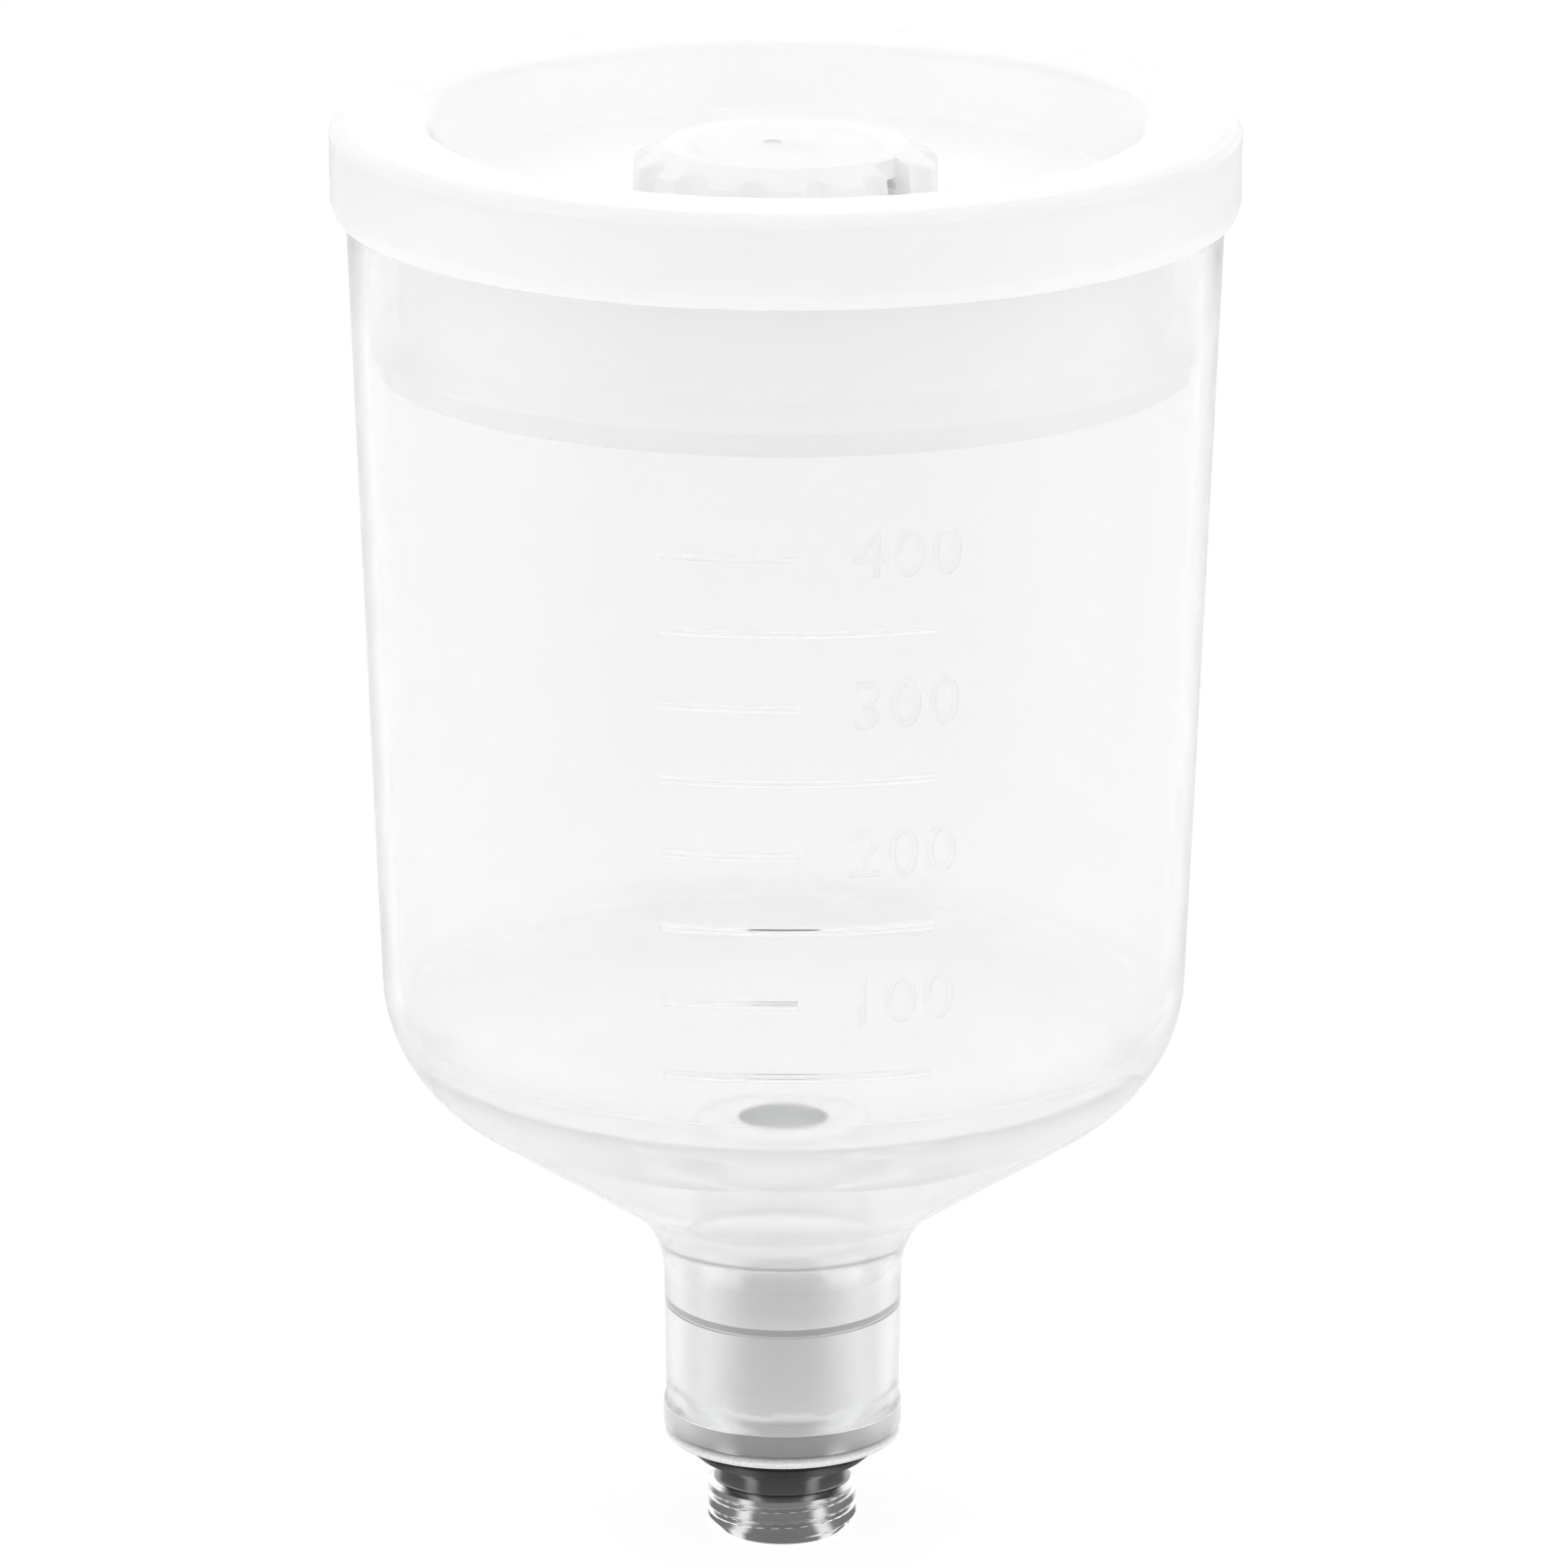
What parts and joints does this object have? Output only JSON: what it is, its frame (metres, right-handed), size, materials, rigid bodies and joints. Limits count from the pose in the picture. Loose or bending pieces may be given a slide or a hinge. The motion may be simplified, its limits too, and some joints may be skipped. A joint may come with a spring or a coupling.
{
  "type": "gravity paint cup with lid",
  "caption": "See-through gravity-feed paint cup with graduations, a threaded metal outlet, a gasket and a push-on lid with a turning vent cap.",
  "frame": {"origin": "on the cup's axis, in the sealing plane at the gasket's lower face, where the spigot leaves the gasket", "axes": "+Z along the cup's axis from the spigot up to the lid; -Y is the side with the graduations; +X to the right of someone who reads them"},
  "size_m": [0.0953, 0.0952, 0.1559],
  "materials": {
    "cup": "near-clear moulded polypropylene",
    "insert": "turned, satin",
    "washer": "matte white",
    "gasket": "matte black",
    "lid": "milky moulded polyethylene",
    "cap": "milky moulded polyethylene",
    "seal": "soft, pale"
  },
  "bodies": {
    "cup": {"cup_body": "cup", "threaded_insert": "insert", "backing_washer": "washer", "gasket": "gasket"},
    "lid": {"lid": "lid"},
    "vent": {"vent_cap": "cap", "vent_seal": "seal"}
  },
  "joints": [
    {"name": "lid_lift", "type": "slide", "parent": "cup", "child": "lid", "axis": [0, 0, 1], "range_m": [0, 0.04]},
    {"name": "vent_turn", "type": "hinge", "parent": "lid", "child": "vent", "pos_m": [0, 0, 0.1381], "axis": [0, 0, 1], "range_deg": [0, 90]}
  ]
}
